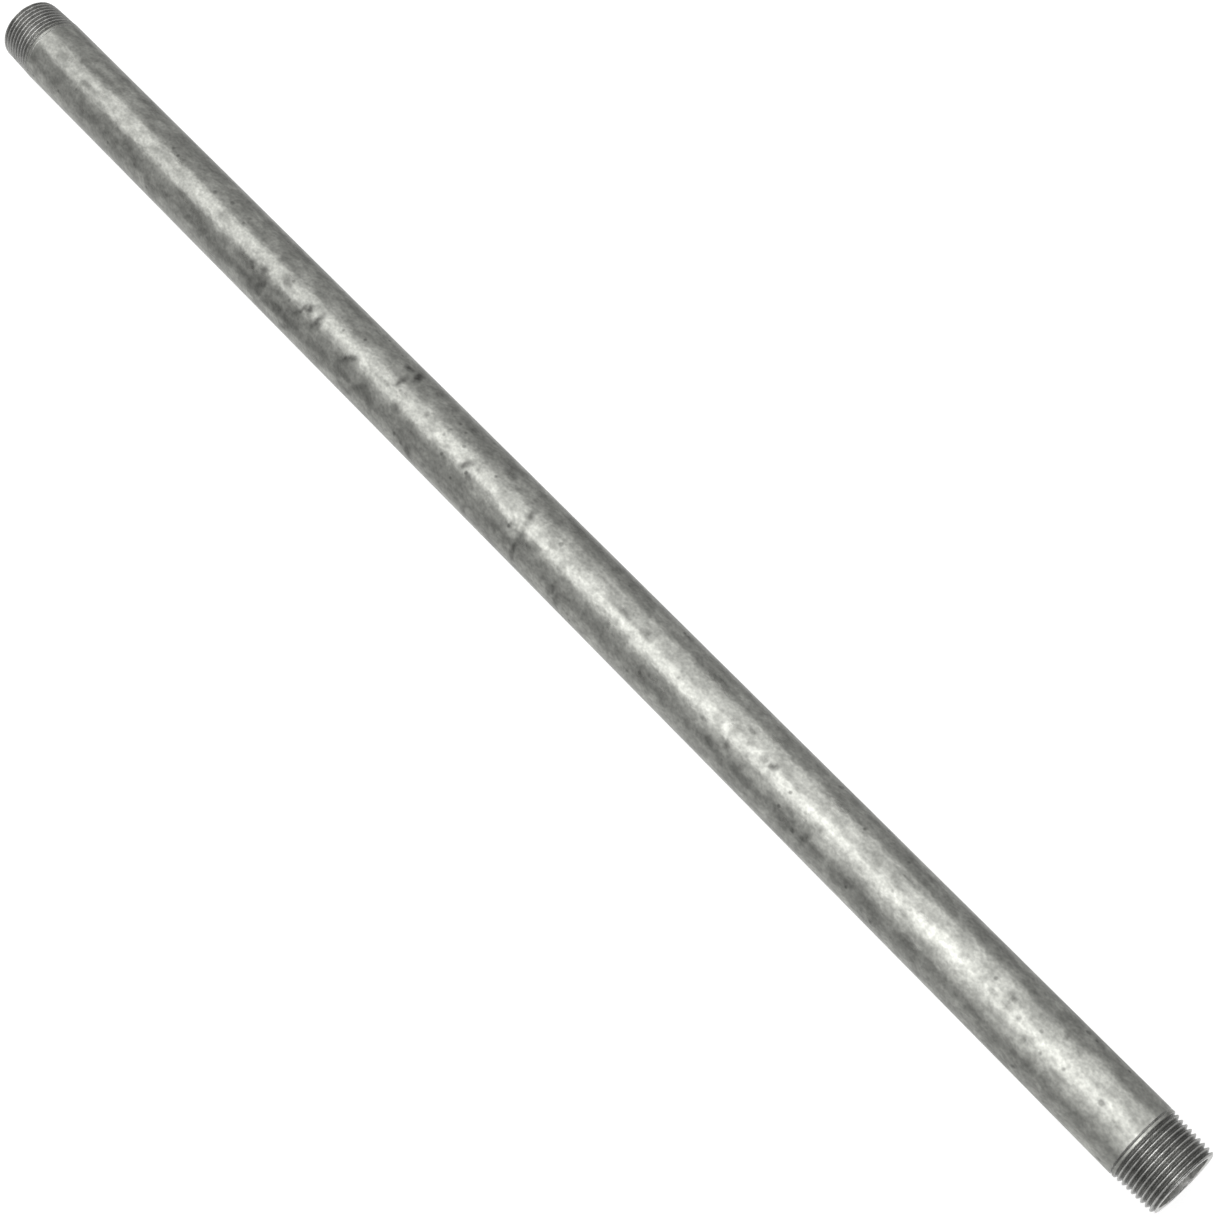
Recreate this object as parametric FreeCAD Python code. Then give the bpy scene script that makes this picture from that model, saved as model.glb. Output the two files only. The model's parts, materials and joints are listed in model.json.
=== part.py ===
import FreeCAD, Part
import math
import os

# Threaded pipe nipple: a length of galvanised Schedule 40 steel pipe, size 3/4, with a
# right-hand NPT 3/4-14 taper thread cut on each end. Sizes are in millimetres. The pipe's axis
# is X, Z is up, and the origin is on the axis, halfway along the pipe.

# Driving dimensions of the pipe
INCH = 25.4
PIPE_LENGTH = 24 * INCH
PIPE_RADIUS = 1.050 * INCH / 2
WALL = 0.113 * INCH
ZINC_THICKNESS = 0.08

# Driving dimensions of the thread, NPT 3/4-14
PITCH = INCH / 14
TAPER = 1 / 32  # rise of the radius per unit of length along the pipe
PITCH_RADIUS_AT_END = 0.96768 * INCH / 2
THREAD_HEIGHT = 0.8 * PITCH
FLANK_SLOPE = math.tan(math.radians(30))
ROOT_FLAT = 0.038 * PITCH
FULL_THREAD = 0.5457 * INCH  # length of thread with a full root
VANISH_LENGTH = 2.5 * PITCH  # where the groove runs out to nothing
VANISH_POWER = 1.5  # how gently the root starts to rise
CREST_SKIM = 0.03  # the die burnishes the last crests down by this much

# Driving dimensions of the cut ends and of the weld line inside
FACE_ABOVE_ROOT = 0.5  # the flat end face is this much larger in radius than the root
DEBURR = 0.4  # 45 degree chamfer at each mouth of the bore
BEAD_HEIGHT = 0.2
BEAD_WIDTH = 2.2
BEAD_ANGLE = 55  # degrees about the axis, from +Y towards +Z

# Thread starts differ from end to end: degrees about the axis
START_ANGLE_A = 130  # the end towards -X
START_ANGLE_B = 20  # the end towards +X

# Layout of the helical cutter
CREST_CLEARANCE = 0.05  # the cutter stands this far above the crests
LEAD_TURNS = 1.25  # turns in the air before the end face
PIECES_PER_TURN = 2
POINTS_PER_PIECE = 16

# Worked out from the dimensions above
HALF_LENGTH = PIPE_LENGTH / 2
BORE_RADIUS = PIPE_RADIUS - WALL
CREST_RADIUS_AT_END = PITCH_RADIUS_AT_END + THREAD_HEIGHT / 2
ROOT_RADIUS_AT_END = PITCH_RADIUS_AT_END - THREAD_HEIGHT / 2
FACE_RADIUS = ROOT_RADIUS_AT_END + FACE_ABOVE_ROOT
CHAMFER_LENGTH = (CREST_RADIUS_AT_END - FACE_RADIUS) / (1 - TAPER)
SKIMMED_RADIUS = PIPE_RADIUS - CREST_SKIM
CONE_LENGTH = (SKIMMED_RADIUS - CREST_RADIUS_AT_END) / TAPER
THREAD_LENGTH = FULL_THREAD + VANISH_LENGTH

ORIGIN = FreeCAD.Vector(0, 0, 0)
X_AXIS = FreeCAD.Vector(1, 0, 0)
Z_AXIS = FreeCAD.Vector(0, 0, 1)


def revolved(profile):
    """A solid of revolution about X, from (x, radius) corners."""
    corners = [FreeCAD.Vector(x, radius, 0) for x, radius in profile]
    return Part.Face(Part.makePolygon(corners + corners[:1])).revolve(ORIGIN, X_AXIS, 360)


def at_both_ends(offsets):
    """Corners given as (distance in from an end face, radius), from end A to end B."""
    end_a = [(depth - HALF_LENGTH, radius) for depth, radius in offsets]
    end_b = [(HALF_LENGTH - depth, radius) for depth, radius in reversed(offsets)]
    return end_a + end_b


def root_radius(depth):
    """Radius of the groove's floor at a distance in from the end face."""
    taper_root = ROOT_RADIUS_AT_END + depth * TAPER
    if depth <= FULL_THREAD:
        return taper_root
    risen = ((depth - FULL_THREAD) / VANISH_LENGTH) ** VANISH_POWER
    return taper_root + risen * (PIPE_RADIUS + CREST_CLEARANCE - taper_root)


def groove_section(turns):
    """The cutter's four corners after some turns, for an end face at x = 0 facing +X."""
    depth = (turns - LEAD_TURNS) * PITCH
    low = root_radius(depth)
    high = CREST_RADIUS_AT_END + depth * TAPER + CREST_CLEARANCE
    low_half = ROOT_FLAT / 2
    high_half = low_half + (high - low) * FLANK_SLOPE
    corners = [(-low_half, low), (low_half, low), (high_half, high), (-high_half, high)]
    # the groove goes towards -X, so it turns backwards about X to be right-handed
    angle = -2 * math.pi * turns
    return [
        FreeCAD.Vector(along - depth, radius * math.cos(angle), radius * math.sin(angle))
        for along, radius in corners
    ]


def cutter_piece(first_turn, last_turn):
    """A short stretch of the helical wedge that the die removes, as a closed solid."""
    span = last_turn - first_turn
    stations = [first_turn + span * i / POINTS_PER_PIECE for i in range(POINTS_PER_PIECE + 1)]
    sections = [groove_section(turns) for turns in stations]
    edges = []
    for corner in range(4):
        curve = Part.BSplineCurve()
        curve.interpolate(Points=[section[corner] for section in sections], Parameters=stations)
        edges.append(curve.toShape())
    faces = [Part.makeRuledSurface(edges[i], edges[(i + 1) % 4]) for i in range(4)]
    for section in (sections[0], sections[-1]):
        faces.append(Part.Face(Part.makePolygon(section + section[:1])))
    shell = Part.makeShell(faces)
    shell.sewShape()
    return Part.makeSolid(shell)


def thread_cutters(start_angle):
    """All pieces of the wedge for one end, at end B."""
    turns = LEAD_TURNS + THREAD_LENGTH / PITCH
    count = math.ceil(turns * PIECES_PER_TURN)
    pieces = [cutter_piece(turns * i / count, turns * (i + 1) / count) for i in range(count)]
    for piece in pieces:
        piece.rotate(ORIGIN, X_AXIS, start_angle)
        piece.translate(X_AXIS * HALF_LENGTH)
    return pieces


def bore_core(radius, bead_height, half_length):
    """What fills the bore: a round bar with a shallow groove along it where the weld bead is."""
    half_width = BEAD_WIDTH / 2
    side = math.sqrt(radius**2 - half_width**2)
    left = FreeCAD.Vector(-half_length, side, half_width)
    right = FreeCAD.Vector(-half_length, side, -half_width)
    crown = FreeCAD.Vector(-half_length, radius - bead_height, 0)
    far = FreeCAD.Vector(-half_length, -radius, 0)
    round_wall = Part.Arc(left, far, right).toShape()
    bead = Part.Arc(right, crown, left).toShape()
    core = Part.Face(Part.Wire([round_wall, bead])).extrude(X_AXIS * 2 * half_length)
    core.rotate(ORIGIN, X_AXIS, BEAD_ANGLE)
    return core


def steel_core():
    """The bore of the bare steel, longer than the pipe so that it cuts clean through."""
    return bore_core(BORE_RADIUS, BEAD_HEIGHT, HALF_LENGTH + WALL)


def mouth_chamfers():
    """The two cones that deburr the mouths of the bore."""
    over = DEBURR  # runs on past the end face
    cones = []
    for end in (-1, 1):
        face = end * HALF_LENGTH
        inner = face - end * DEBURR
        outer = face + end * over
        tip = inner - end * BORE_RADIUS
        mouth = BORE_RADIUS + DEBURR + over
        cones.append(revolved([(tip, 0), (outer, 0), (outer, mouth)]))
    return cones


def steel_pipe():
    """The steel of the pipe: turned ends, both threads, the bore and the weld bead inside."""
    outline = [
        (0, 0),
        (0, FACE_RADIUS),
        (CHAMFER_LENGTH, FACE_RADIUS + CHAMFER_LENGTH),
        (CONE_LENGTH, SKIMMED_RADIUS),
        (THREAD_LENGTH, PIPE_RADIUS),
    ]
    bar = revolved(at_both_ends(outline))
    cutters_b = thread_cutters(START_ANGLE_B)
    cutters_a = thread_cutters(START_ANGLE_A)
    for piece in cutters_a:
        piece.rotate(ORIGIN, Z_AXIS, 180)
    threaded = bar.cut(cutters_a + cutters_b)
    return threaded.cut([steel_core()] + mouth_chamfers())


def outer_zinc_coat():
    """The zinc left on the outside, between the two threads."""
    half = HALF_LENGTH - THREAD_LENGTH
    outside = PIPE_RADIUS + ZINC_THICKNESS
    return revolved([(-half, PIPE_RADIUS), (-half, outside), (half, outside), (half, PIPE_RADIUS)])


def inner_zinc_coat():
    """The zinc on the wall of the bore and over the weld bead, from mouth to mouth."""
    half = HALF_LENGTH - DEBURR
    wall = bore_core(BORE_RADIUS, BEAD_HEIGHT, half)
    clear = bore_core(BORE_RADIUS - ZINC_THICKNESS, BEAD_HEIGHT, HALF_LENGTH)
    return wall.cut(clear)


def main():
    os.makedirs("parts", exist_ok=True)
    nodes = {
        "steel_pipe": steel_pipe(),
        "outer_zinc_coat": outer_zinc_coat(),
        "inner_zinc_coat": inner_zinc_coat(),
    }
    for name, shape in nodes.items():
        solid = shape.Solids[0]
        if len(shape.Solids) != 1 or not solid.isValid():
            raise ValueError(f"{name} isn't one valid solid")
        solid.exportStep(f"parts/{name}.step")


main()
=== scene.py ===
import bpy
import json
import math
import numpy as np
from mathutils import Matrix, Vector


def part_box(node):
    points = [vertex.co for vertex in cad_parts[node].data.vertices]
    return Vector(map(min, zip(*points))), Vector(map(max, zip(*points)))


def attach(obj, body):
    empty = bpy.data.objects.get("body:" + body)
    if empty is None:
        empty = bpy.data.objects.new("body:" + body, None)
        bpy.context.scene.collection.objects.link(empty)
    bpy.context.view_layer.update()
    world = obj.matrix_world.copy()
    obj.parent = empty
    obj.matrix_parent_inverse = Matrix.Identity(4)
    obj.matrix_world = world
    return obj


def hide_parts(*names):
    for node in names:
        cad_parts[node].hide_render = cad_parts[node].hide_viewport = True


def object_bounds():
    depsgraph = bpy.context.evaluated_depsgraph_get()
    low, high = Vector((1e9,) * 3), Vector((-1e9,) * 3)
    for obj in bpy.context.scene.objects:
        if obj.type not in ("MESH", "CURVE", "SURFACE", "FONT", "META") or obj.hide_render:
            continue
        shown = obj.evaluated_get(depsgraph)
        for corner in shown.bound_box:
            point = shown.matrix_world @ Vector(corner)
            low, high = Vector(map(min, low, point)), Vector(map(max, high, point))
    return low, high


# A galvanised steel pipe nipple lying on a pale floor. The pipe's axis is X and end B, towards
# +X, is nearest the camera. Shapes are worked out in millimetres, as a radius for each angle
# and each place along the pipe, and become metres when a mesh is made. Angles are about the
# axis, from +Y towards +Z, so 90 degrees is the top of the pipe.

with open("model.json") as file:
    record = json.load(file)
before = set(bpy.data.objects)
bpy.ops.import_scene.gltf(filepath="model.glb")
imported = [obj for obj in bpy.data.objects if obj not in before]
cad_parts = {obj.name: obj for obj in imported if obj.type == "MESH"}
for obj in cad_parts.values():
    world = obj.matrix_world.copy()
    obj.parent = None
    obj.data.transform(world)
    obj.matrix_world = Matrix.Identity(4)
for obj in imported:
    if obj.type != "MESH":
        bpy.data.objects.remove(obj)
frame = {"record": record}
CAD_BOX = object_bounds()

MM = 0.001
TAU = 2 * math.pi

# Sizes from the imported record
MOUNTS = {mount["name"]: mount for mount in frame["record"]["mounts"]}
ZINC_RADIUS = MOUNTS["outside"]["dims"]["r_mm"]
STEEL_RADIUS = MOUNTS["thread_b"]["dims"]["r_mm"]
THREAD_LENGTH = MOUNTS["thread_b"]["dims"]["length_mm"]
BORE_RADIUS = MOUNTS["bore"]["dims"]["r_mm"]
HALF_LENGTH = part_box("steel_pipe")[1].x / MM
HALF_ZINC = HALF_LENGTH - THREAD_LENGTH
ZINC_THICKNESS = ZINC_RADIUS - STEEL_RADIUS
STEEL_BORE_RADIUS = BORE_RADIUS + ZINC_THICKNESS

# The taper thread, as in the CAD model
PITCH = 25.4 / 14
TAPER = 1 / 32
THREAD_HEIGHT = 0.8 * PITCH
CREST_AT_END = 0.96768 * 25.4 / 2 + THREAD_HEIGHT / 2
ROOT_AT_END = CREST_AT_END - THREAD_HEIGHT
ROOT_FLAT = 0.038 * PITCH
FLANK_SLOPE = math.tan(math.radians(30))
VANISH_LENGTH = 2.5 * PITCH
FULL_THREAD = THREAD_LENGTH - VANISH_LENGTH
FACE_RADIUS = ROOT_AT_END + 0.5
DEBURR = 0.4  # chamfer at each mouth of the bore
CREST_WEAR = 0.15
WEAR_ENDS = 14.2  # distance in from the end face where the crests stop being worn
LEAD_TURNS = 1.25  # sets, with the start angle, where the groove meets the end face
SAW_RELIEF = 0.012  # height of the saw rings, and how far the end face is set back to leave them room
START_ANGLE = {"a": math.radians(130), "b": math.radians(20)}

# The weld bead along the bore
BEAD_ANGLE = math.radians(55)
BEAD_HALF_WIDTH = math.radians(6.5)
BEAD_HEIGHT = 0.2

# Mesh spacing
STEEL_AROUND = 176
ROWS_PER_PITCH = 22
ZINC_AROUND = 112
FINE_STEP = 0.5
COARSE_STEP = 0.8
MARKED_FROM = -150
MARKED_TO = 34
BORE_AROUND = 180
MOUTH_LENGTH = 30  # the bore's rows are close together this far in from each mouth
MOUTH_ROWS = 60
MOUTH_GAP = 3
MIDDLE_ROWS = 180
HIDDEN_ROWS = 12  # rows along a wall that has no detail


# ---- noise over the pipe's skin ----


def skin_noise(angle, x, around, along, seed):
    """Smooth noise from -1 to 1, with a number of cells round the pipe and each `along` mm long."""
    count = int(2 * HALF_LENGTH / along) + 4
    lattice = np.random.default_rng(seed).uniform(-1, 1, (count, around))
    u = (angle / TAU) % 1 * around
    v = (x + HALF_LENGTH) / along + 1
    column = np.floor(u).astype(int)
    row = np.clip(np.floor(v).astype(int), 0, count - 2)
    s = u - column
    t = np.clip(v - row, 0, 1)
    s = s * s * (3 - 2 * s)
    t = t * t * (3 - 2 * t)
    near, far = column % around, (column + 1) % around
    low = lattice[row, near] * (1 - s) + lattice[row, far] * s
    high = lattice[row + 1, near] * (1 - s) + lattice[row + 1, far] * s
    return low * (1 - t) + high * t


def smooth_step(value, low, high):
    """0 at `low` and 1 at `high`, easing at both ends; `low` may be the larger."""
    t = np.clip((value - low) / (high - low), 0, 1)
    return t * t * (3 - 2 * t)


# ---- the zinc skin outside ----

# Dents, scuffs and stains: middle along the pipe in mm, middle angle, half width in mm along the
# pipe, half length in degrees round it, slant in mm per 10 degrees, strength
MARKS = [
    (-282, 103, 3.0, 6, 0, 0.3),
    (-274, 107, 3.0, 8, 0, 0.4),
    (-255, 112, 4.5, 5, 0, 0.7),
    (-215, 121, 3.0, 5, 0, 0.4),
    (-170, 103, 2.6, 8, -0.7, 0.5),
    (-158, 152, 16, 9, 0, 0.35),
    (-130, 154, 22, 10, 0, 0.6),
    (-147, 125, 1.6, 8, -1.0, 0.6),
    (-141, 120, 2.2, 6, 0, 0.6),
    (-139, 143, 1.8, 13, -1.8, 0.8),
    (-131, 108, 2.8, 6, 0, 0.5),
    (-126.5, 150, 1.8, 8, -0.8, 0.8),
    (-122, 168, 1.7, 16, -1.7, 0.7),
    (-116, 113, 2.6, 9, -0.6, 1.0),
    (-117, 118, 1.3, 18, -1.6, 0.7),
    (-109.7, 118, 1.5, 16, 0.1, 1.0),
    (-89.7, 124, 1.5, 14, -1.9, 1.0),
    (-82, 158, 1.4, 30, -1.7, 0.5),
    (-72, 112, 2.5, 5, -4.0, 0.5),
    (-68.8, 91, 1.5, 13, 0.1, 0.9),
    (-72, 65, 2.0, 6, 0, 0.9),
    (-67, 64, 1.9, 13, 0.9, 1.0),
    (-63, 128, 1.5, 5, 0, 0.35),
    (-52, 101, 1.5, 5, 0, 0.6),
    (-50.5, 168, 2.0, 12, 0, 0.6),
    (-37, 63, 4.5, 5, 0, 0.5),
    (-27, 112, 1.6, 12, -0.8, 0.9),
    (-23, 123, 1.5, 5, 0.4, 0.8),
    (-22.5, 103, 1.6, 4, 1.5, 0.5),
    (-19, 168, 1.2, 14, -0.4, 0.5),
    (4.2, 99, 1.5, 7, 0, 0.8),
    (5.6, 118, 1.1, 14, 0.8, 0.5),
    (6.7, 156, 1.3, 20, 0.2, 0.8),
    (17.5, 103, 1.5, 6, 0, 0.35),
    (25, 114, 1.3, 7, 0.5, 0.35),
    (26.8, 156, 1.6, 14, -0.5, 0.6),
    (30.3, 168, 1.2, 14, 0, 0.6),
    (53, 101, 4.0, 4, 0, 0.5),
    (64, 101, 2.8, 6, 0, 0.6),
    (48, 119, 6.0, 4, 0, 0.3),
    (99, 127, 1.5, 5, 0, 0.5),
    (104.5, 145, 1.6, 7, 0, 0.7),
    (103, 112, 2.8, 10, 0, 0.35),
    (111, 129, 1.6, 6, 0, 0.8),
    (110, 106, 1.3, 9, 0, 0.5),
    (114, 90, 1.9, 4, 0, 0.8),
    (117, 105, 1.3, 6, 0, 0.5),
    (124, 108, 1.5, 7, 0, 0.6),
    (127.5, 106, 1.7, 6, 0, 1.0),
    (139.5, 104, 1.5, 5, 0, 0.4),
    (141.5, 134, 1.8, 6, -0.8, 0.7),
    (151, 145, 1.3, 10, -0.5, 0.8),
    (153.5, 120, 1.8, 6, 0, 0.4),
    (147, 81, 1.2, 5, 0.5, 0.5),
    (190.5, 124, 1.6, 5, 0, 0.7),
    (188, 111, 2.5, 4, 0, 0.45),
    (184, 84, 5.5, 4, 0, 0.6),
    (186, 100, 4.0, 3, 0, 0.35),
    (194, 163, 3.5, 8, 0, 0.35),
    (227.5, 111, 1.8, 5, 0, 0.6),
    (233, 97, 1.6, 5, 0, 0.8),
    (233.5, 111, 1.8, 6, 0, 0.6),
    (238.5, 112, 1.1, 3, 0, 0.6),
    (244, 126, 1.5, 6, 0, 0.55),
    (252, 80, 1.3, 6, 0.5, 0.6),
    (259, 128, 2.5, 6, -1.0, 0.4),
    (281, 120, 2.0, 4, 0, 0.45),
]
DENT_DEPTH = 0.05
DENT_ROOM = 0.3  # the walls hidden under the zinc are drawn this much smaller, clear of its dents


def mark_shape(angle, x):
    """(height, scuff) of the marks: each is a shallow, dark dent with a raised lip."""
    height = np.zeros_like(x)
    scuff = np.zeros_like(x)
    ragged_x = x + 0.5 * skin_noise(angle, x, 60, 1.6, 5)
    ragged_angle = np.degrees(angle) + 3 * skin_noise(angle, x, 40, 2.2, 6)
    for middle, degrees, width, reach, slant, strength in MARKS:
        away = (ragged_angle - degrees + 180) % 360 - 180
        across = (ragged_x - middle - slant * away / 10) / width
        dent = np.exp(-((across**2 + (away / reach) ** 2) ** 1.5))
        lip = np.exp(-((across - 1.7) ** 2) - (away / reach) ** 4)
        height += DENT_DEPTH * strength * (0.4 * lip - dent)
        scuff = np.maximum(scuff, strength * dent)
    return height, scuff


def zinc_skin(angle, x):
    """Height of the zinc's surface above its nominal radius, before any marks."""
    waves = 0.016 * skin_noise(angle, x, 5, 40, 1)
    lumps = 0.014 * skin_noise(angle, x, 12, 15, 2)
    ripple = 0.007 * skin_noise(angle, x, 30, 4, 3)
    runs = 0.006 * skin_noise(angle, x, 26, 45, 4)
    return waves + lumps + ripple + runs


# ---- the thread ----


def root_radius(depth):
    """Radius of the groove's floor at a distance in from the end face."""
    taper_root = ROOT_AT_END + depth * TAPER
    risen = np.clip((depth - FULL_THREAD) / VANISH_LENGTH, 0, None) ** 1.5
    return taper_root + risen * (STEEL_RADIUS + 0.05 - taper_root)


def threaded_end(angle, depth, x, end):
    """(radius, zinc left, how deep in the groove, which sets its painted shade) on the threaded end.
    """
    seen_from_b = angle if end == "b" else math.pi - angle
    turn = depth / PITCH + LEAD_TURNS + (seen_from_b - START_ANGLE[end]) / TAU
    from_centre = np.abs((turn + 0.5) % 1 - 0.5) * PITCH
    floor = root_radius(depth)
    groove = floor + np.maximum(from_centre - ROOT_FLAT / 2, 0) / FLANK_SLOPE
    tear = smooth_step(skin_noise(angle, x, 150, 1.1, 11), 0.25, 0.9)
    worn = smooth_step(depth, WEAR_ENDS + 1.5, WEAR_ENDS - 1)
    cone = CREST_AT_END + depth * TAPER - (CREST_WEAR + 0.1 * tear) * worn
    skin = ZINC_RADIUS + zinc_skin(angle, x)
    chamfer = FACE_RADIUS + depth
    blank = np.minimum(np.minimum(cone, skin), chamfer)
    radius = np.minimum(groove, blank)
    zinc = smooth_step(np.minimum(cone, groove) - skin, -0.015, 0.01)
    # How deep the point lies in the groove; the steel's colour is darkened by it as painted shade.
    sunk = np.clip((blank - radius) / THREAD_HEIGHT, 0, 1)
    chatter = 0.008 * skin_noise(angle, x, 90, 0.7, 12)
    return radius + chatter * (1 - zinc), zinc, sunk


# ---- meshes ----


def grid(rows, around):
    """Row positions and angles spread to a grid."""
    angles = np.arange(around) / around * TAU
    return np.meshgrid(np.asarray(rows, float), angles, indexing="ij")


def sharpen_corners(mesh, around, corner_rows):
    """Makes the rings of some rows hard edges, where one surface of a tube ends and another begins."""
    ends = np.zeros(2 * len(mesh.edges), int)
    mesh.edges.foreach_get("vertices", ends)
    row = ends.reshape(-1, 2) // around
    sharp = (row[:, 0] == row[:, 1]) & np.isin(row[:, 0], corner_rows)
    layer = mesh.attributes.new("sharp_edge", "BOOLEAN", "EDGE")
    layer.data.foreach_set("value", sharp)


def tube_piece(name, bands, attributes, node, material):
    """Bands of rows joined end to end in a closed ring, as one mesh that stands for a CAD node."""
    rows = {key: np.concatenate([part[key] for part in bands]) for key in bands[0]}
    x, radius = rows["x"], rows["radius"]
    count, around = x.shape
    angles = np.arange(around) / around * TAU
    points = np.stack([x, radius * np.cos(angles), radius * np.sin(angles)], axis=-1) * MM
    index = np.arange(count * around).reshape(count, around)
    after = np.roll(index, -1, axis=1)
    below = np.roll(index, -1, axis=0)
    corner = np.roll(after, -1, axis=0)
    faces = np.stack([index, after, corner, below], axis=-1).reshape(-1, 4)
    mesh = bpy.data.meshes.new(name)
    mesh.from_pydata(points.reshape(-1, 3).tolist(), [], faces.tolist())
    for key in attributes:
        layer = mesh.attributes.new(key, "FLOAT", "POINT")
        layer.data.foreach_set("value", rows[key].astype(np.float32).ravel())
    mesh.shade_smooth()
    starts = np.cumsum([0] + [len(part["x"]) for part in bands])
    sharpen_corners(mesh, around, np.concatenate([starts[:-1], starts[1:] - 1]))
    mesh.materials.append(material)
    piece = bpy.data.objects.new(name, mesh)
    bpy.context.scene.collection.objects.link(piece)
    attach(piece, "root")
    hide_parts(node)
    return piece


def band(x, radius, zinc=0.0, sunk=0.0):
    """Rows of a surface, with how much zinc is left on it and how deep in a groove or bore it is,
    which sets its painted shade.
    """
    blank = np.zeros_like(x)
    return {"x": x, "radius": radius + blank, "zinc": zinc + blank, "sunk": sunk + blank}


def flipped(rows):
    """The same rows in the opposite order along the ring."""
    return {key: values[::-1] for key, values in rows.items()}


def end_face(end, sign):
    """The flat ring at an end, from its outer edge to the mouth, with fine saw rings."""
    steps = np.array([0, 0.05, 0.25, 0.5, 0.75, 0.95, 1])
    share, angle = grid(steps, STEEL_AROUND)
    face = np.full_like(share, sign * HALF_LENGTH)
    rim, _, _ = threaded_end(angle, 0, face, end)
    mouth = STEEL_BORE_RADIUS + DEBURR
    radius = rim + share * (mouth - rim)
    rings = SAW_RELIEF * skin_noise(angle, share * 40, 60, 9, 21 if end == "a" else 22)
    x = sign * (HALF_LENGTH - SAW_RELIEF + rings * (share > 0) * (share < 1))
    return band(x, radius)


def outer_end(end, sign):
    """The chamfer and the thread of one end, from the face inwards."""
    step = PITCH / ROWS_PER_PITCH
    depth, angle = grid(np.linspace(step, THREAD_LENGTH, int(THREAD_LENGTH / step)), STEEL_AROUND)
    x = sign * (HALF_LENGTH - depth)
    radius, zinc, sunk = threaded_end(angle, depth, x, end)
    return band(x, radius, zinc, sunk)


def bead(angle):
    """Height of the weld bead at an angle."""
    away = (angle - BEAD_ANGLE + math.pi) % TAU - math.pi
    return BEAD_HEIGHT * np.cos(np.clip(away / BEAD_HALF_WIDTH, -1, 1) * math.pi / 2) ** 2


def steel_piece(material):
    """The steel pipe: both threaded ends, the bare wall under the zinc, and the bore."""
    half_bore = HALF_LENGTH - DEBURR
    hidden, _ = grid(np.linspace(-HALF_ZINC, HALF_ZINC, HIDDEN_ROWS), STEEL_AROUND)
    wall, angle = grid(np.linspace(half_bore, -half_bore, HIDDEN_ROWS), STEEL_AROUND)
    bands = [
        flipped(end_face("a", -1)),
        outer_end("a", -1),
        band(hidden, STEEL_RADIUS - 1.2 * DENT_ROOM),
        flipped(outer_end("b", 1)),
        end_face("b", 1),
        # The bore's steel wall gets a little painted shade, which also darkens the mouth chamfer
        # towards the bore.
        band(wall, STEEL_BORE_RADIUS - bead(angle), sunk=0.15),
    ]
    return tube_piece(
        "threaded_steel", bands, ["zinc", "sunk"], "steel_pipe", material
    )


def outer_zinc_piece(material):
    """The wavy, marked zinc between the threads."""
    before = np.arange(-HALF_ZINC, MARKED_FROM, COARSE_STEP)
    marked = np.arange(MARKED_FROM, MARKED_TO, FINE_STEP)
    beyond = np.linspace(MARKED_TO, HALF_ZINC, int((HALF_ZINC - MARKED_TO) / COARSE_STEP))
    x, angle = grid(np.concatenate([before, marked, beyond]), ZINC_AROUND)
    dents, scuff = mark_shape(angle, x)
    outside = band(x, ZINC_RADIUS + zinc_skin(angle, x) + dents)
    outside["scuff"] = scuff
    under, _ = grid(np.linspace(HALF_ZINC, -HALF_ZINC, HIDDEN_ROWS), ZINC_AROUND)
    inside = band(under, STEEL_RADIUS - DENT_ROOM)
    inside["scuff"] = np.zeros_like(under)
    return tube_piece(
        "zinc_skin", [outside, inside], ["scuff"], "outer_zinc_coat", material
    )


def inner_zinc_piece(material):
    """The zinc in the bore, over the weld bead."""
    half = HALF_LENGTH - DEBURR
    mouth = np.linspace(0, MOUTH_LENGTH, MOUTH_ROWS)
    inner = half - MOUTH_LENGTH - MOUTH_GAP
    middle = np.linspace(inner, -inner, MIDDLE_ROWS)
    x, angle = grid(np.concatenate([half - mouth, middle, mouth[::-1] - half]), BORE_AROUND)
    drips = 0.025 * skin_noise(angle, x, 12, 16, 31) + 0.012 * skin_noise(angle, x, 40, 4, 32)
    inside = band(x, BORE_RADIUS - bead(angle) - 0.02 + drips)
    under, under_angle = grid(np.linspace(-half, half, HIDDEN_ROWS), BORE_AROUND)
    outside = band(under, STEEL_BORE_RADIUS - bead(under_angle))
    return tube_piece(
        "bore_zinc", [inside, outside], [], "inner_zinc_coat", material
    )


# ---- materials ----

ZINC_TONE = (1.0, 1.01, 0.94)


def add(tree, kind, settings, inputs):
    """Adds a shader node; an input is a value or another node's output."""
    node = tree.nodes.new("ShaderNode" + kind)
    for key, value in settings.items():
        setattr(node, key, value)
    for key, value in inputs.items():
        if isinstance(value, bpy.types.NodeSocket):
            tree.links.new(value, node.inputs[key])
        else:
            node.inputs[key].default_value = value
    return node


def noise(tree, where, stretch, scale, detail=2.0):
    """Noise from 0 to 1; scale is in features per metre, squeezed or stretched along X."""
    scaled = add(tree, "Mapping", {}, {"Vector": where, "Scale": (stretch, 1, 1)})
    inputs = {"Vector": scaled.outputs[0], "Scale": scale, "Detail": detail}
    return add(tree, "TexNoise", {}, inputs).outputs["Fac"]


def remap(tree, value, low, high, to_low, to_high):
    inputs = {"Value": value, 1: low, 2: high, 3: to_low, 4: to_high}
    return add(tree, "MapRange", {"clamp": True}, inputs).outputs[0]


def calc(tree, operation, a, b):
    """A sum, product or other operation on two values."""
    return add(tree, "Math", {"operation": operation}, {0: a, 1: b}).outputs[0]


def tint(tree, value, colour):
    """A colour scaled by a value."""
    scaled = add(tree, "VectorMath", {"operation": "SCALE"}, {0: colour, "Scale": value})
    return scaled.outputs[0]


def mixed(tree, factor, a, b):
    inputs = {0: factor, 2: a, 3: b}
    return add(tree, "Mix", {"data_type": "FLOAT"}, inputs).outputs[0]


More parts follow.
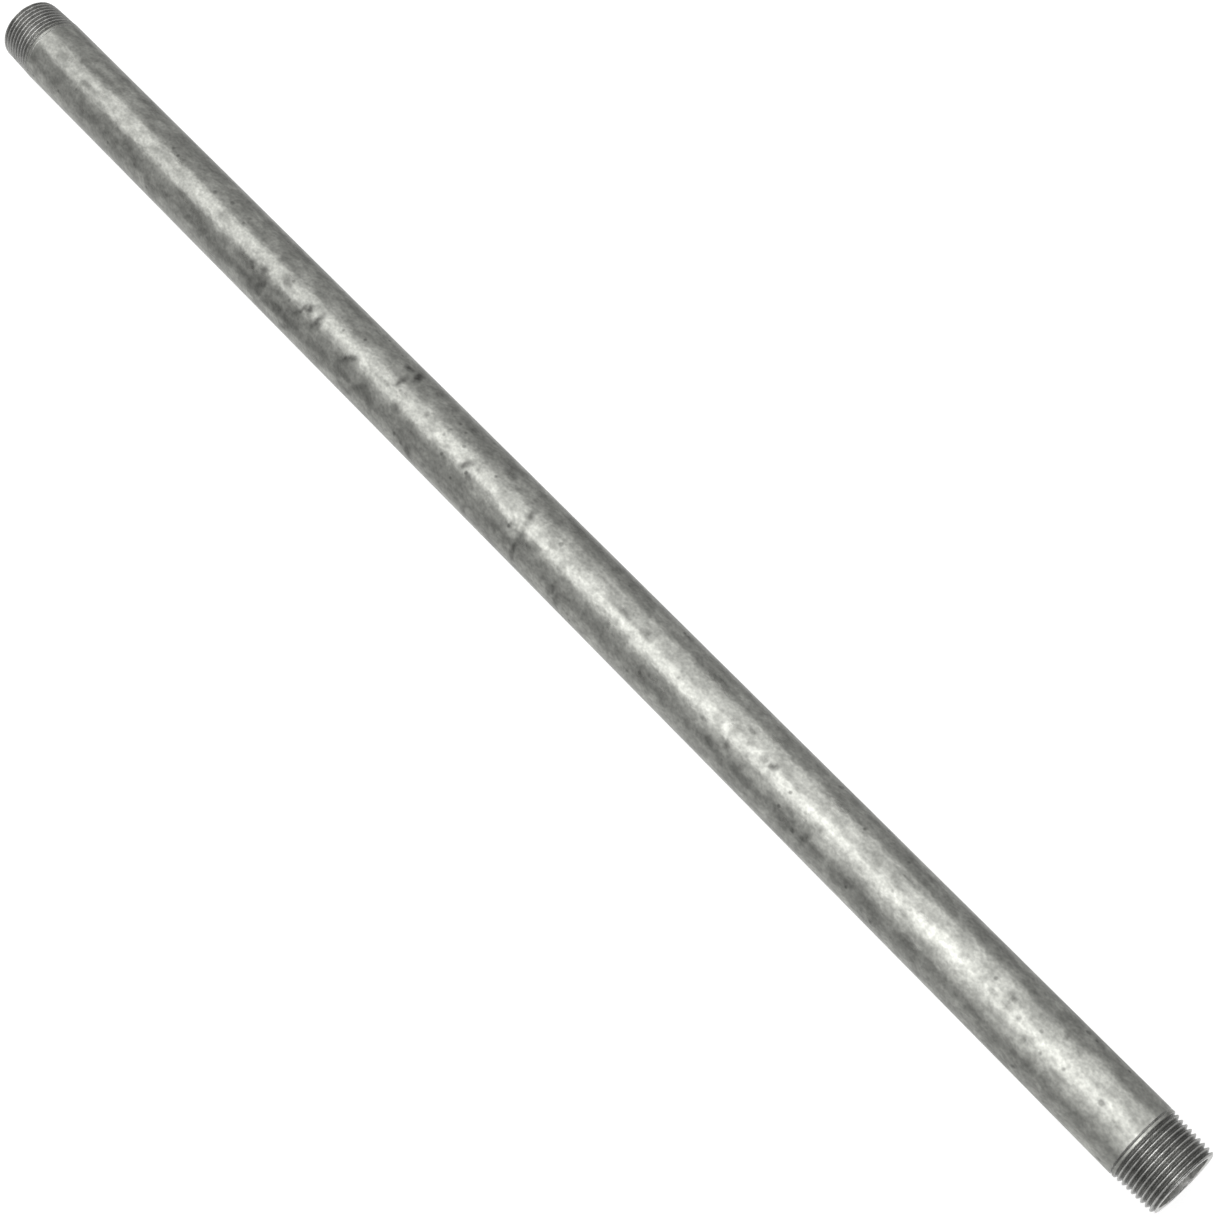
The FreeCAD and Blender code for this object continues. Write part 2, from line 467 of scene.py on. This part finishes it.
def mixed_colour(tree, factor, a, b):
    return add(tree, "Mix", {"data_type": "RGBA"}, {0: factor, 6: a, 7: b}).outputs[2]


def attribute(tree, name):
    """A value that the mesh carries at each point."""
    node = tree.nodes.new("ShaderNodeAttribute")
    node.attribute_name = name
    return node.outputs["Fac"]


def speckle(tree, where, per_metre, radius, share):
    """Small round dots, 0 to 1: `radius` is a share of a cell and `share` how many cells have one."""
    inputs = {"Vector": where, "Scale": per_metre}
    cells = add(tree, "TexVoronoi", {}, inputs)
    chance = add(tree, "SeparateColor", {}, {"Color": cells.outputs["Color"]}).outputs[0]
    dot = remap(tree, cells.outputs["Distance"], radius * 0.5, radius, 1, 0)
    return calc(tree, "MULTIPLY", dot, calc(tree, "LESS_THAN", chance, share))


def zinc_layer(tree, where, brightness, tone):
    """(colour, roughness, bump height) of hot-dip zinc, cloudy, mottled and specked."""
    cloud = noise(tree, where, 0.35, 90, 3)
    blotch = noise(tree, where, 0.6, 170, 2)
    patch = noise(tree, where, 0.7, 340, 2)
    grain = noise(tree, where, 0.9, 900, 1)
    specks = speckle(tree, where, 240, 0.22, 0.15)
    pits = speckle(tree, where, 110, 0.14, 0.15)
    dots = calc(tree, "MAXIMUM", specks, pits)
    value = remap(tree, cloud, 0.3, 0.7, 0.86, 1.1)
    value = calc(tree, "MULTIPLY", value, remap(tree, blotch, 0.3, 0.7, 0.82, 1.14))
    value = calc(tree, "MULTIPLY", value, remap(tree, patch, 0.3, 0.7, 0.78, 1.18))
    value = calc(tree, "MULTIPLY", value, remap(tree, grain, 0.3, 0.7, 0.83, 1.12))
    value = calc(tree, "MULTIPLY", value, remap(tree, dots, 0, 1, 1, 0.6))
    colour = tint(tree, calc(tree, "MULTIPLY", value, brightness), tone)
    rough = remap(tree, blotch, 0.3, 0.7, 0.27, 0.35)
    relief = calc(tree, "ADD", patch, calc(tree, "MULTIPLY", grain, 0.12))
    relief = calc(tree, "ADD", relief, calc(tree, "MULTIPLY", blotch, 1.2))
    relief = calc(tree, "SUBTRACT", relief, calc(tree, "MULTIPLY", dots, 0.15))
    return colour, rough, relief


def steel_layer(tree, where):
    """(colour, roughness, bump height) of freshly cut steel with fine turning lines, with a painted
    highlight on the crests and painted shade in the grooves.
    """
    lines = noise(tree, where, 9, 700, 2)
    cloud = noise(tree, where, 1, 160, 3)
    sunk = attribute(tree, "sunk")
    value = remap(tree, cloud, 0.3, 0.7, 0.8, 1.15)
    value = calc(tree, "MULTIPLY", value, remap(tree, lines, 0.3, 0.7, 0.88, 1.1))
    # Painted highlight and painted shade: the steel is painted lighter where it stands proud, as on
    # the crests, and darker the deeper it lies in a groove or the bore.
    value = calc(tree, "MULTIPLY", value, remap(tree, sunk, 0, 0.35, 1.25, 0.62))
    colour = tint(tree, value, (0.6, 0.6, 0.582))
    rough = remap(tree, lines, 0.3, 0.7, 0.2, 0.32)
    return colour, rough, lines


def metal_material(name, shade):
    """A material whose colour, roughness and bump height come from a shading function."""
    material = bpy.data.materials.new(name)
    material.use_nodes = True
    tree = material.node_tree
    tree.nodes.clear()
    where = tree.nodes.new("ShaderNodeTexCoord").outputs["Object"]
    colour, rough, relief = shade(tree, where)
    bump = add(tree, "Bump", {}, {"Strength": 1.0, "Distance": 0.00012, "Height": relief})
    inputs = {"Base Color": colour, "Roughness": rough, "Metallic": 0.9, "Normal": bump.outputs[0]}
    shader = add(tree, "BsdfPrincipled", {}, inputs)
    add(tree, "OutputMaterial", {}, {"Surface": shader.outputs[0]})
    return material


def outer_zinc_shade(tree, where):
    colour, rough, relief = zinc_layer(tree, where, 0.52, ZINC_TONE)
    broken = remap(tree, noise(tree, where, 1, 520, 2), 0.3, 0.6, 0.6, 1)
    scuff = calc(tree, "MULTIPLY", attribute(tree, "scuff"), broken)
    colour = mixed_colour(tree, calc(tree, "MULTIPLY", scuff, 0.9), colour, (0.07, 0.07, 0.065, 1))
    rough = calc(tree, "ADD", rough, calc(tree, "MULTIPLY", scuff, 0.1))
    along = add(tree, "SeparateXYZ", {}, {0: where}).outputs["X"]
    rough = calc(tree, "ADD", rough, remap(tree, along, 0.2, 0.25, 0, 0.08))
    return colour, rough, relief


def threaded_shade(tree, where):
    zinc_colour, zinc_rough, zinc_relief = zinc_layer(tree, where, 0.52, ZINC_TONE)
    colour, rough, relief = steel_layer(tree, where)
    zinc = attribute(tree, "zinc")
    colour = mixed_colour(tree, zinc, colour, zinc_colour)
    rough = mixed(tree, zinc, rough, zinc_rough)
    relief = mixed(tree, zinc, relief, zinc_relief)
    return colour, rough, relief


def bore_shade(tree, where):
    # The bore's zinc is painted much lighter than the outside zinc (0.85 against 0.52): painted light
    # standing for the light that reaches into the bore.
    return zinc_layer(tree, where, 0.85, (1.0, 1.0, 0.97))


# ---- studio ----

# The camera, with distances in mm: it looks down on end B from the front right
CAMERA_AZIMUTH = math.radians(49.56)
CAMERA_ELEVATION = math.radians(58.69)
CAMERA_DISTANCE = 856
CAMERA_AIM = (42.0, -0.3, 0)
CAMERA_LENS = 75.4

# Soft lamps over the pipe: angle about its axis, place along it, length, width, radiance
LAMP_DISTANCE = 900
LAMPS = {
    "key": (112, -20, 900, 360, 0.75),
    "wash": (117, 50, 900, 800, 1.3),
    "far_wash": (102, -900, 920, 1000, 0.95),
    "shoulder": (69, 50, 900, 780, 0.78),
    "trail": (156, 150, 700, 420, 0.55),
}


def add_camera():
    data = bpy.data.cameras.new("camera")
    data.lens = CAMERA_LENS
    data.sensor_width = 36
    data.clip_start = 0.01
    data.clip_end = 50
    camera = bpy.data.objects.new("camera", data)
    bpy.context.scene.collection.objects.link(camera)
    back = Vector((
        math.sin(CAMERA_AZIMUTH) * math.cos(CAMERA_ELEVATION),
        -math.cos(CAMERA_AZIMUTH) * math.cos(CAMERA_ELEVATION),
        math.sin(CAMERA_ELEVATION),
    ))
    camera.location = (Vector(CAMERA_AIM) + back * CAMERA_DISTANCE) * MM
    camera.rotation_mode = "QUATERNION"
    camera.rotation_quaternion = (-back).to_track_quat("-Z", "Y")
    bpy.context.scene.camera = camera


def softbox(name, degrees, along, length, width, radiance):
    """A rectangular lamp facing the pipe's axis, at an angle about it. Sizes are in mm."""
    data = bpy.data.lights.new(name, "AREA")
    data.shape = "RECTANGLE"
    data.size = length * MM
    data.size_y = width * MM
    data.energy = radiance * math.pi * data.size * data.size_y
    lamp = bpy.data.objects.new(name, data)
    bpy.context.scene.collection.objects.link(lamp)
    outward = Vector((0, math.cos(math.radians(degrees)), math.sin(math.radians(degrees))))
    x_axis = Vector((1, 0, 0))
    y_axis = outward.cross(x_axis)
    turn = Matrix((x_axis, y_axis, outward)).transposed().to_4x4()
    place = (x_axis * along + outward * LAMP_DISTANCE) * MM
    lamp.matrix_world = Matrix.Translation(place) @ turn


def floor_material():
    """White to the camera with a faint shadow; in reflections it glows most beside the pipe."""
    material = bpy.data.materials.new("pale_floor")
    material.use_nodes = True
    tree = material.node_tree
    tree.nodes.clear()
    where = tree.nodes.new("ShaderNodeTexCoord").outputs["Object"]
    albedo = remap(tree, noise(tree, where, 1, 3, 2), 0.3, 0.7, 0.48, 0.52)
    paper = add(tree, "BsdfDiffuse", {}, {"Color": tint(tree, albedo, (1, 1, 1))})
    away = add(tree, "VectorMath", {"operation": "LENGTH"}, {0: where}).outputs["Value"]
    white = {"Color": (1, 1, 1, 1), "Strength": remap(tree, away, 0.8, 3, 0.8, 1)}
    backing = add(tree, "Emission", {}, white)
    seen = add(tree, "AddShader", {}, {0: paper.outputs[0], 1: backing.outputs[0]})
    side = add(tree, "SeparateXYZ", {}, {0: where}).outputs["Y"]
    aside = calc(tree, "ABSOLUTE", calc(tree, "SUBTRACT", side, 0.006), 0)
    fall = calc(tree, "EXPONENT", calc(tree, "MULTIPLY", aside, -25), 0)
    glow = calc(tree, "ADD", calc(tree, "MULTIPLY", fall, 0.72), 0.24)
    reflected = add(tree, "Emission", {}, {"Color": (1, 1, 1, 1), "Strength": glow})
    camera_ray = tree.nodes.new("ShaderNodeLightPath").outputs["Is Camera Ray"]
    inputs = {0: camera_ray, 1: reflected.outputs[0], 2: seen.outputs[0]}
    surface = add(tree, "MixShader", {}, inputs)
    add(tree, "OutputMaterial", {}, {"Surface": surface.outputs[0]})
    return material


def add_floor():
    size = 20
    height = CAD_BOX[0].z - 0.05 * MM
    corners = [(-size, -size), (size, -size), (size, size), (-size, size)]
    mesh = bpy.data.meshes.new("floor")
    mesh.from_pydata([(x, y, height) for x, y in corners], [], [(0, 1, 2, 3)])
    mesh.materials.append(floor_material())
    floor = bpy.data.objects.new("floor", mesh)
    bpy.context.scene.collection.objects.link(floor)


def add_world():
    """A dim room for reflections, darkest towards +X, and white behind the floor for the camera."""
    world = bpy.data.worlds.new("studio")
    bpy.context.scene.world = world
    world.use_nodes = True
    tree = world.node_tree
    tree.nodes.clear()
    camera_ray = tree.nodes.new("ShaderNodeLightPath").outputs["Is Camera Ray"]
    where = tree.nodes.new("ShaderNodeTexCoord").outputs["Generated"]
    along = add(tree, "SeparateXYZ", {}, {0: where}).outputs["X"]
    room = tint(tree, remap(tree, along, 0.3, 0.85, 0.33, 0.03), (1, 1, 1))
    colour = mixed_colour(tree, camera_ray, room, (1, 1, 1, 1))
    background = add(tree, "Background", {}, {"Color": colour, "Strength": 1.0})
    add(tree, "OutputWorld", {}, {"Surface": background.outputs[0]})


def add_studio():
    add_floor()
    add_world()
    for name, settings in LAMPS.items():
        softbox(name, *settings)
    bpy.context.scene.view_settings.view_transform = "Standard"
    add_camera()


steel_piece(metal_material("threaded_steel", threaded_shade))
outer_zinc_piece(metal_material("galvanised_zinc", outer_zinc_shade))
inner_zinc_piece(metal_material("bore_zinc", bore_shade))
add_studio()
